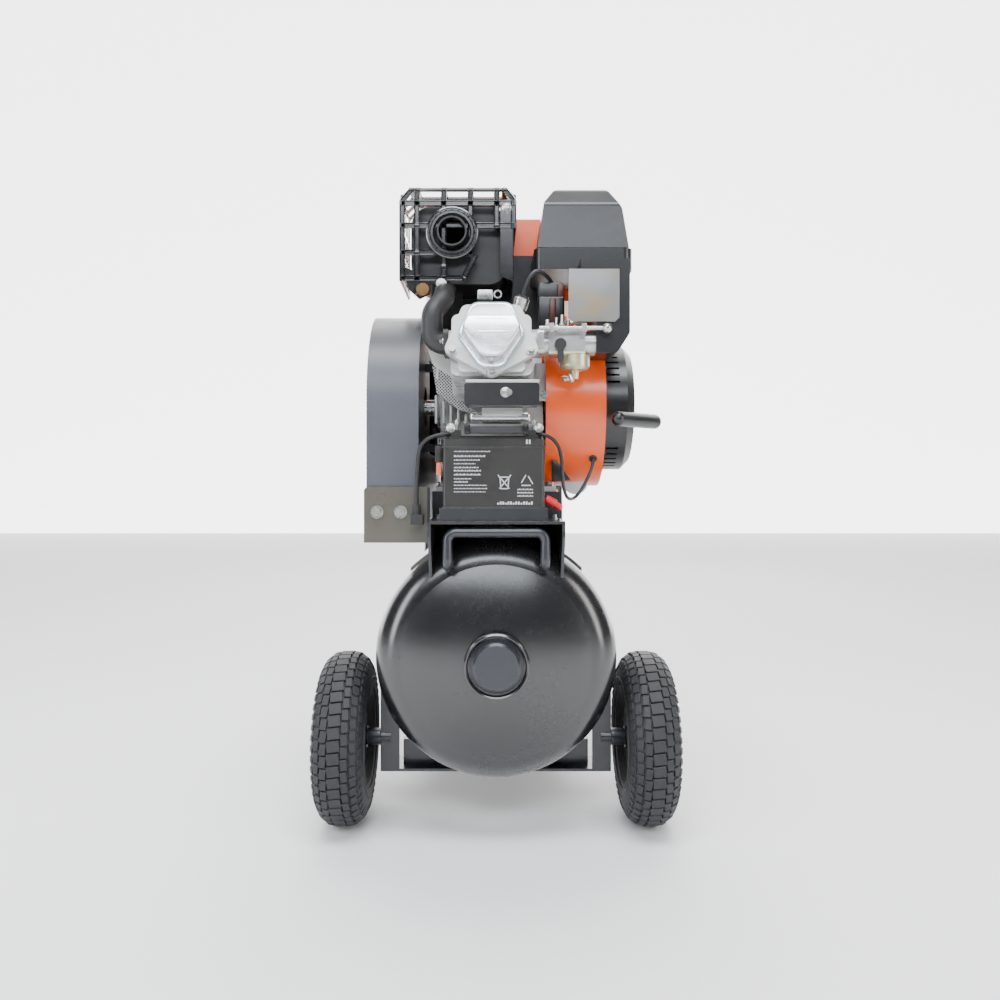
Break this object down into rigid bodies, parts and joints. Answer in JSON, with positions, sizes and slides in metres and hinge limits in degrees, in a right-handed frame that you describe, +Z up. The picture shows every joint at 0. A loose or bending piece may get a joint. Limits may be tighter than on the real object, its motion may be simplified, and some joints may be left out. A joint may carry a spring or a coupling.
{
  "type": "air compressor",
  "caption": "Wheeled petrol air compressor: horizontal air receiver on pneumatic wheels, electric-start engine driving a twin-cylinder pump through a guarded belt.",
  "frame": {"origin": "on the floor under the middle of the machine's bounding box", "axes": "+Z up, +Y from the wheel and battery end to the push handle, +X to the recoil starter side, away from the belt guard"},
  "size_m": [0.542, 1.0865, 0.974],
  "materials": {
    "tank_black": "satin gloss",
    "frame_black": "satin",
    "guard_grey": "satin",
    "tyre": "matte",
    "rim_black": "satin",
    "rubber": "matte",
    "belt": "matte",
    "engine_alloy": "cast, satin",
    "cover_alloy": "cast, bright",
    "shroud_steel": "silver",
    "shaft_steel": "ground",
    "iron": "painted",
    "exhaust_steel": "heat darkened",
    "muffler_black": "satin",
    "cage_black": "gloss",
    "plastic_black": "fine grain",
    "battery_case": "satin",
    "orange_paint": "gloss",
    "zinc": "zinc plated",
    "carb_zinc": "die cast",
    "brass": "machined",
    "copper_tube": "drawn tube",
    "cable_black": "satin",
    "cable_red": "satin",
    "knob_black": "gloss"
  },
  "bodies": {
    "chassis": {"tank_shell": "tank_black", "inspection_plugs": "tank_black", "engine_platform": "frame_black", "axle_frame": "frame_black", "tank_saddles": "frame_black", "rubber_feet": "rubber", "lift_handle": "frame_black", "push_handle": "frame_black", "battery": "battery_case", "battery_clamp": "frame_black", "belt_guard_cover": "guard_grey", "belt_guard_backplate": "frame_black", "drive_belt": "belt", "zinc_fasteners": "zinc", "engine_crankcase": "engine_alloy", "cylinder_barrel": "engine_alloy", "cylinder_head": "engine_alloy", "rocker_cover": "cover_alloy", "exhaust_pipe": "exhaust_steel", "muffler_body": "muffler_black", "muffler_guard": "cage_black", "air_cleaner_base": "plastic_black", "air_cleaner_cover": "plastic_black", "carburettor": "carb_zinc", "cylinder_shrouds": "shroud_steel", "control_box": "plastic_black", "fuel_tank": "orange_paint", "blower_housing": "orange_paint", "recoil_cover": "muffler_black", "starter_motor": "frame_black", "spark_plug": "rubber", "pump_crankcase": "iron", "pump_cylinders": "iron", "pump_heads": "engine_alloy", "pump_intake_filters": "plastic_black", "delivery_pipe": "copper_tube", "air_manifold": "brass", "pressure_gauges": "knob_black", "earth_lead": "cable_black", "starter_lead": "cable_red", "spark_plug_lead": "cable_black", "lead_boots": "rubber"},
    "wheel_left_body": {"tyre_left": "tyre", "rim_left": "rim_black"},
    "wheel_right_body": {"tyre_right": "tyre", "rim_right": "rim_black"},
    "engine_rotor": {"engine_crankshaft": "shaft_steel", "flywheel_fan": "iron", "drive_pulley": "iron"},
    "pump_rotor": {"pump_flywheel": "iron", "pump_crankshaft": "shaft_steel"},
    "reel": {"recoil_reel": "plastic_black"},
    "grip": {"starter_grip": "plastic_black"},
    "choke": {"choke_rod": "shaft_steel"},
    "throttle": {"throttle_lever": "plastic_black"},
    "fuel_cap_body": {"fuel_cap": "plastic_black"},
    "fuel_tap": {"fuel_tap_lever": "plastic_black"},
    "regulator": {"regulator_knob": "knob_black"},
    "outlet_cock": {"outlet_cock_lever": "knob_black"},
    "drain": {"drain_tap": "brass"}
  },
  "joints": [
    {"name": "wheel_left_spin", "type": "hinge", "parent": "chassis", "child": "wheel_left_body", "pos_m": [-0.23, -0.353, 0.13], "axis": [1, 0, 0], "continuous": true},
    {"name": "wheel_right_spin", "type": "hinge", "parent": "chassis", "child": "wheel_right_body", "pos_m": [0.23, -0.353, 0.13], "axis": [1, 0, 0], "continuous": true},
    {"name": "pump_spin", "type": "hinge", "parent": "chassis", "child": "pump_rotor", "pos_m": [-0.1495, 0.072, 0.628], "axis": [1, 0, 0], "continuous": true},
    {"name": "engine_spin", "type": "hinge", "parent": "chassis", "child": "engine_rotor", "pos_m": [0, -0.308, 0.642], "axis": [1, 0, 0], "continuous": true},
    {"name": "recoil_spin", "type": "hinge", "parent": "chassis", "child": "reel", "pos_m": [0.188, -0.308, 0.642], "axis": [1, 0, 0], "range_deg": [-660, 0], "stiffness_Nm_per_rad": 0.02, "springref_deg": 28.65},
    {"name": "grip_pull", "type": "slide", "parent": "chassis", "child": "grip", "axis": [0.7071, -0.7071, 0], "range_m": [0, 0.6]},
    {"name": "choke_pull", "type": "slide", "parent": "chassis", "child": "choke", "axis": [1, 0, 0], "range_m": [0, 0.016]},
    {"name": "throttle_turn", "type": "hinge", "parent": "chassis", "child": "throttle", "pos_m": [0.108, -0.333, 0.772], "axis": [0, 0, 1], "range_deg": [-35, 0]},
    {"name": "fuel_cap_turn", "type": "hinge", "parent": "chassis", "child": "fuel_cap_body", "pos_m": [-0.022, -0.183, 0.96], "axis": [0, 0, 1], "range_deg": [0, 90]},
    {"name": "fuel_tap_turn", "type": "hinge", "parent": "chassis", "child": "fuel_tap", "pos_m": [0.089, -0.49311, 0.71579], "axis": [0, 1, 0], "range_deg": [-90, 0]},
    {"name": "regulator_turn", "type": "hinge", "parent": "chassis", "child": "regulator", "pos_m": [0, 0.297, 0.54], "axis": [0, 0, 1], "range_deg": [-360, 360]},
    {"name": "outlet_cock_turn", "type": "hinge", "parent": "chassis", "child": "outlet_cock", "pos_m": [0.098, 0.297, 0.508], "axis": [0, 0, 1], "range_deg": [0, 90]},
    {"name": "drain_tap_turn", "type": "hinge", "parent": "chassis", "child": "drain", "pos_m": [0, -0.053, 0.08], "axis": [0, 0, 1], "range_deg": [0, 90]}
  ],
  "couplings": [
    {"joint": "engine_spin", "follows": "pump_spin", "ratio": 2.8476},
    {"joint": "grip_pull", "follows": "recoil_spin", "m_per_rad": -0.052}
  ]
}
